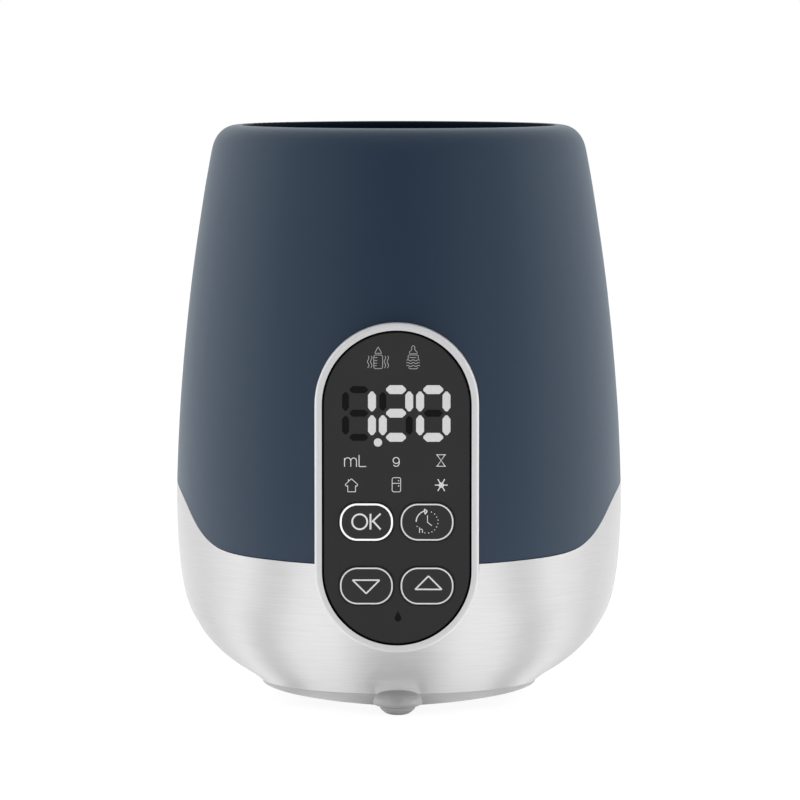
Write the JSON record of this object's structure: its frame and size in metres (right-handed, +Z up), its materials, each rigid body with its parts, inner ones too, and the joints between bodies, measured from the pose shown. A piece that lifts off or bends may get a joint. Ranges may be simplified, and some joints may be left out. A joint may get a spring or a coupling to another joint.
{
  "type": "bottle warmer",
  "caption": "Tabletop bottle warmer: barrel casing with an open water well, lift-out basket, front panel with display and push keys, mains lead.",
  "frame": {"origin": "floor plane, under the axis of the bottle well", "axes": "+Z up along the well's axis, -Y towards the front panel, +X to the right as seen from the front"},
  "size_m": [0.1304, 0.2232, 0.1685],
  "materials": {
    "navy_soft_touch": "soft-touch matt paint with a slight sheen at grazing angles",
    "brushed_silver": "silver coating with fine level brush lines",
    "satin_silver": "satin silver coating",
    "inner_plastic": "moulded, fine texture",
    "base_grey": "satin grey moulding",
    "foot_grey": "grey non-slip rubber",
    "tank_plastic": "dark moulding, satin",
    "silicone": "translucent silicone",
    "screw_steel": "zinc-plated steel",
    "plate_aluminium": "spun, satin",
    "clamp_steel": "pressed steel",
    "element_steel": "annealed tube",
    "sensor_steel": "stamped can",
    "fuse_ceramic": "glazed",
    "board_green": "solder mask",
    "relay_blue": "moulded case",
    "transformer_yellow": "taped coil and core",
    "capacitor_black": "shrink sleeve",
    "terminal_white": "nylon",
    "lead_red": "silicone insulated wire",
    "lens_black": "fine matt black",
    "key_black": "fine matt black",
    "display_lit": "white light guide, emissive",
    "display_dark": "smoked window",
    "module_black": "black moulding",
    "switch_body": "moulded switch",
    "ribbon_grey": "flat cable",
    "cord_rubber": "dark PVC jacket",
    "pin_brass": "nickel-plated brass pin",
    "basket_plastic": "translucent light grey moulding"
  },
  "bodies": {
    "housing": {"base_plate": "base_grey", "base_screws": "screw_steel", "bezel_ring": "satin_silver", "buzzer": "module_black", "capacitor": "capacitor_black", "clamp_screws": "screw_steel", "control_pcb": "board_green", "cord_grommet": "cord_rubber", "display_module": "module_black", "foot_front": "foot_grey", "foot_rear_left": "foot_grey", "foot_rear_right": "foot_grey", "heater_leads": "lead_red", "heater_plate": "plate_aluminium", "heating_element": "element_steel", "lit_segments": "display_lit", "lower_shell": "brushed_silver", "ntc_sensor": "sensor_steel", "panel_chassis": "inner_plastic", "panel_lens": "lens_black", "panel_screws": "screw_steel", "pcb_screws": "screw_steel", "plate_clamp_ring": "clamp_steel", "plate_seal": "silicone", "plug_body": "cord_rubber", "plug_pins": "pin_brass", "power_cord": "cord_rubber", "power_pcb": "board_green", "relay": "relay_blue", "ribbon_cable": "ribbon_grey", "shell_join_band": "inner_plastic", "tact_switches": "switch_body", "tank": "tank_plastic", "tank_floor": "tank_plastic", "tank_gasket": "silicone", "tank_screws": "screw_steel", "terminal_block": "terminal_white", "thermal_fuse": "fuse_ceramic", "thermostat": "sensor_steel", "transformer": "transformer_yellow", "unlit_segments": "display_dark", "upper_shell": "navy_soft_touch", "water_light": "display_dark"},
    "ok_key_body": {"ok_key": "key_black"},
    "timer_key_body": {"timer_key": "key_black"},
    "down_key_body": {"down_key": "key_black"},
    "up_key_body": {"up_key": "key_black"},
    "basket_body": {"basket": "basket_plastic"}
  },
  "joints": [
    {"name": "ok_key_press", "type": "slide", "parent": "housing", "child": "ok_key_body", "axis": [0, 1, 0], "range_m": [0, 0.0005], "stiffness_N_per_m": 500},
    {"name": "timer_key_press", "type": "slide", "parent": "housing", "child": "timer_key_body", "axis": [0, 1, 0], "range_m": [0, 0.0005], "stiffness_N_per_m": 500},
    {"name": "down_key_press", "type": "slide", "parent": "housing", "child": "down_key_body", "axis": [0, 1, 0], "range_m": [0, 0.0005], "stiffness_N_per_m": 500},
    {"name": "up_key_press", "type": "slide", "parent": "housing", "child": "up_key_body", "axis": [0, 1, 0], "range_m": [0, 0.0005], "stiffness_N_per_m": 500},
    {"name": "basket_lift", "type": "slide", "parent": "housing", "child": "basket_body", "axis": [0, 0, 1], "range_m": [0, 0.125]}
  ]
}
